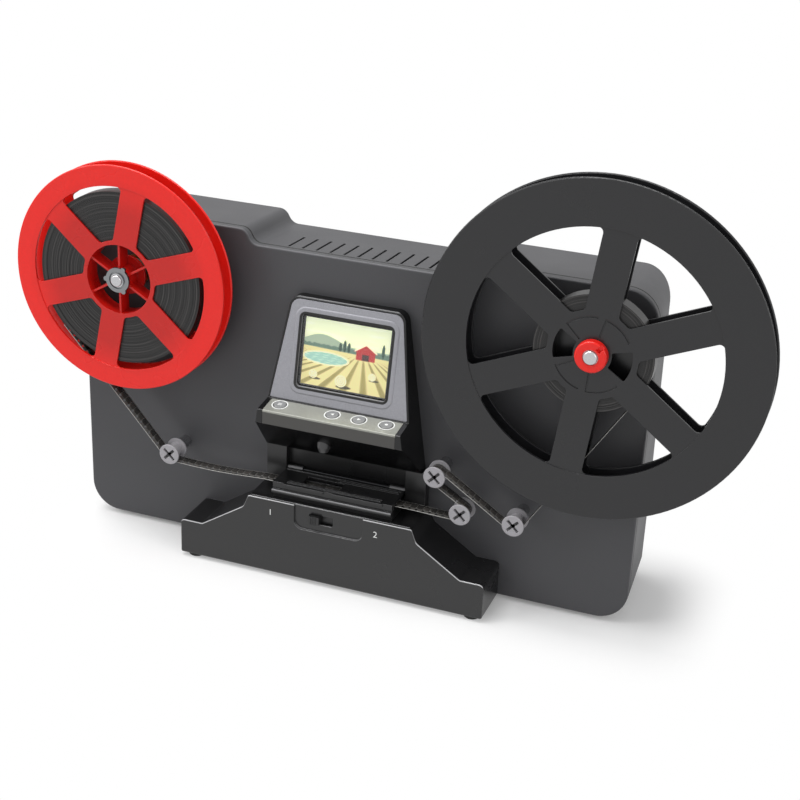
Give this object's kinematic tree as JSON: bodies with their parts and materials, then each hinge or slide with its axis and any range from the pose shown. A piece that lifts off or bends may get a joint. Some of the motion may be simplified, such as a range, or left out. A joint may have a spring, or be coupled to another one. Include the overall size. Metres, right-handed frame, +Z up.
{
  "type": "film scanner",
  "caption": "Film scanner: upright body with a supply reel, a take-up reel, guide rollers, a lit film gate with a camera, a small screen and keys.",
  "frame": {"origin": "on the floor plane, under the middle of the overall length and depth", "axes": "+X to the right along the front, +Y to the back, +Z up"},
  "size_m": [0.4164, 0.0946, 0.2496],
  "materials": {
    "body_plastic": "fine moulded texture, dark grey",
    "base_plastic": "black, satin to glossy",
    "head_plastic": "black, semi-gloss",
    "gate_plastic": "black, semi-gloss",
    "silver_trim": "satin silver paint",
    "button_plastic": "satin silver with light rings",
    "switch_plastic": "black, ribbed",
    "clear_window": "clear, black border",
    "screen": "lit colour display",
    "lens_glass": "coated glass",
    "diffuser": "milk white",
    "circuit_board": "green solder mask",
    "screw_steel": "blackened steel",
    "bright_steel": "turned bright steel",
    "motor_steel": "drawn can",
    "chassis_steel": "zinc plated sheet",
    "socket_metal": "nickel plated",
    "bronze": "sintered bronze",
    "rubber": "matt black",
    "felt": "grey felt",
    "claw_plastic": "natural acetal",
    "red_plastic": "moulded red",
    "reel_black": "moulded black, satin",
    "film": "dark grey-brown film base",
    "roller_plastic": "mid grey moulded"
  },
  "bodies": {
    "machine": {"front_cover": "body_plastic", "rear_cover": "body_plastic", "cover_screws": "screw_steel", "rubber_feet": "rubber", "base_shell": "base_plastic", "base_plate": "body_plastic", "switch_body": "switch_plastic", "screen_housing": "head_plastic", "screen_bezel": "silver_trim", "screen_window": "clear_window", "screen_module": "screen", "button_plate": "silver_trim", "button_board": "circuit_board", "camera_module": "circuit_board", "camera_barrel": "head_plastic", "camera_lens": "lens_glass", "gate_frame": "gate_plastic", "gate_hinge_pin": "bright_steel", "film_bed": "gate_plastic", "light_diffuser": "diffuser", "light_board": "circuit_board", "claw_rail": "bright_steel", "feed_motor": "motor_steel", "supply_bush": "bronze", "supply_brake": "felt", "takeup_bush": "bronze", "takeup_motor": "motor_steel", "drive_belt": "rubber", "film_strip": "film", "roller_posts": "bright_steel", "inner_chassis": "chassis_steel", "main_board": "circuit_board", "card_slot": "socket_metal", "data_port": "socket_metal", "power_jack": "base_plastic"},
    "supply_reel": {"supply_reel_front": "red_plastic", "supply_reel_rear": "red_plastic", "supply_film": "film", "supply_spindle": "bright_steel", "supply_washer": "bright_steel"},
    "takeup_reel": {"takeup_reel_front": "reel_black", "takeup_reel_rear": "reel_black", "takeup_film": "film", "takeup_spindle": "bright_steel", "takeup_adapter": "red_plastic", "takeup_pulley": "claw_plastic"},
    "motor_shaft": {"motor_pulley": "bronze"},
    "gate": {"gate_door": "gate_plastic"},
    "slide_switch": {"switch_knob": "switch_plastic"},
    "crank": {"feed_crank": "claw_plastic"},
    "claw": {"film_claw": "claw_plastic"},
    "key_menu": {"button_menu": "button_plastic"},
    "key_back": {"button_back": "button_plastic"},
    "key_play": {"button_play": "button_plastic"},
    "key_enter": {"button_enter": "button_plastic"},
    "guide_roller_1": {"roller_1": "roller_plastic"},
    "guide_roller_2": {"roller_2": "roller_plastic"},
    "guide_roller_3": {"roller_3": "roller_plastic"},
    "guide_roller_4": {"roller_4": "roller_plastic"}
  },
  "joints": [
    {"name": "takeup_spin", "type": "hinge", "parent": "machine", "child": "takeup_reel", "pos_m": [0.1193, -0.0327, 0.1607], "axis": [0, -1, 0], "continuous": true},
    {"name": "supply_spin", "type": "hinge", "parent": "machine", "child": "supply_reel", "pos_m": [-0.1447, -0.0327, 0.1575], "axis": [0, -1, 0], "continuous": true},
    {"name": "motor_spin", "type": "hinge", "parent": "machine", "child": "motor_shaft", "pos_m": [0.0833, -0.0017, 0.1307], "axis": [0, -1, 0], "continuous": true},
    {"name": "roller_1_spin", "type": "hinge", "parent": "machine", "child": "guide_roller_1", "pos_m": [-0.1161, -0.0327, 0.0579], "axis": [0, -1, 0], "continuous": true},
    {"name": "roller_2_spin", "type": "hinge", "parent": "machine", "child": "guide_roller_2", "pos_m": [0.0413, -0.0327, 0.0767], "axis": [0, -1, 0], "continuous": true},
    {"name": "roller_3_spin", "type": "hinge", "parent": "machine", "child": "guide_roller_3", "pos_m": [0.0566, -0.0327, 0.0578], "axis": [0, -1, 0], "continuous": true},
    {"name": "roller_4_spin", "type": "hinge", "parent": "machine", "child": "guide_roller_4", "pos_m": [0.086, -0.0327, 0.0578], "axis": [0, -1, 0], "continuous": true},
    {"name": "gate_hinge", "type": "hinge", "parent": "machine", "child": "gate", "pos_m": [-0.0151, -0.0203, 0.0564], "axis": [-1, 0, 0], "range_deg": [0, 50]},
    {"name": "format_slide", "type": "slide", "parent": "machine", "child": "slide_switch", "axis": [1, 0, 0], "range_m": [0, 0.007]},
    {"name": "press_menu", "type": "slide", "parent": "machine", "child": "key_menu", "axis": [0, 0.1425, -0.9898], "range_m": [0, 0.0005], "stiffness_N_per_m": 1000},
    {"name": "press_back", "type": "slide", "parent": "machine", "child": "key_back", "axis": [0, 0.1425, -0.9898], "range_m": [0, 0.0005], "stiffness_N_per_m": 1000},
    {"name": "press_play", "type": "slide", "parent": "machine", "child": "key_play", "axis": [0, 0.1425, -0.9898], "range_m": [0, 0.0005], "stiffness_N_per_m": 1000},
    {"name": "press_enter", "type": "slide", "parent": "machine", "child": "key_enter", "axis": [0, 0.1425, -0.9898], "range_m": [0, 0.0005], "stiffness_N_per_m": 1000},
    {"name": "crank_spin", "type": "hinge", "parent": "machine", "child": "crank", "pos_m": [-0.0021, -0.0305, 0.0355], "axis": [0, -1, 0], "continuous": true},
    {"name": "claw_slide", "type": "slide", "parent": "machine", "child": "claw", "axis": [1, 0, 0], "range_m": [-0.0021, 0.0021]}
  ],
  "couplings": [
    {"joint": "motor_spin", "follows": "takeup_spin", "ratio": 2.5},
    {"joint": "supply_spin", "follows": "takeup_spin", "ratio": 0.6493},
    {"joint": "roller_1_spin", "follows": "takeup_spin", "ratio": 7.7143},
    {"joint": "roller_2_spin", "follows": "takeup_spin", "ratio": -7.7143},
    {"joint": "roller_3_spin", "follows": "takeup_spin", "ratio": 7.7143},
    {"joint": "roller_4_spin", "follows": "takeup_spin", "ratio": 7.7143}
  ]
}
